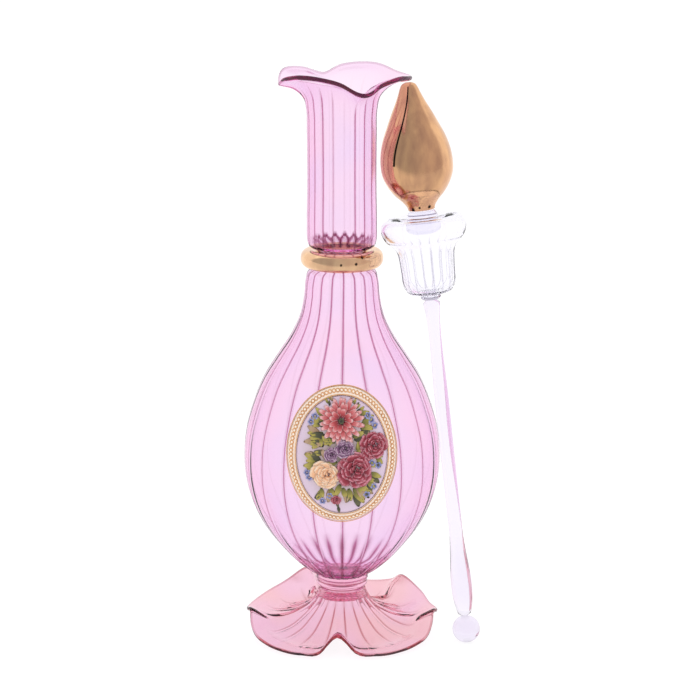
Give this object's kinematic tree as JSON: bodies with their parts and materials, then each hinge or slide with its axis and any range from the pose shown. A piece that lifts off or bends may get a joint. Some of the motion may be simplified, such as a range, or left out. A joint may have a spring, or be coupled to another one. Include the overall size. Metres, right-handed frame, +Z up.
{
  "type": "perfume bottle with dipper stopper",
  "caption": "Tall ribbed pink glass perfume bottle with a petalled foot, ruffled mouth, gilt waist ring and flower picture, and a glass dipper stopper leaning on its neck.",
  "frame": {"origin": "middle of the footprint of bottle and stopper together, on the surface that they stand on", "axes": "+Z up along the bottle, -Y out of the front with the flower picture, +X towards the stopper"},
  "size_m": [0.092, 0.0772, 0.2241],
  "materials": {
    "pink_glass": "clear lilac-pink blown glass, fire polished",
    "rose_glass": "deeper rose blown glass, fire polished",
    "clear_glass": "clear colourless glass, fire polished",
    "ring_gilt": "bright gold lustre fired on a glass ring",
    "finial_gilt": "bright gold lustre fired on a glass finial",
    "frame_gilt": "raised gold paste, satin",
    "flower_enamel": "painted enamel flowers, fired, satin gloss"
  },
  "bodies": {
    "bottle": {"bulb": "pink_glass", "neck": "pink_glass", "collar_ring": "ring_gilt", "foot_knop": "rose_glass", "foot": "rose_glass", "flower_picture": "flower_enamel", "picture_frame": "frame_gilt"},
    "dipper_ball": {"dipper_ball": "clear_glass"},
    "stopper": {"dipper_rod": "clear_glass", "rod_weld": "clear_glass", "stopper_plug": "clear_glass", "finial_seat": "clear_glass", "finial": "finial_gilt"}
  },
  "joints": [
    {"name": "stopper_away", "type": "slide", "parent": "bottle", "child": "dipper_ball", "axis": [0.9903, 0, 0.1392], "range_m": [0, 0.06]},
    {"name": "stopper_tip", "type": "hinge", "parent": "dipper_ball", "child": "stopper", "pos_m": [0.04061, -0.01342, 0.0054], "axis": [0, 1, 0], "range_deg": [0, 92]}
  ]
}
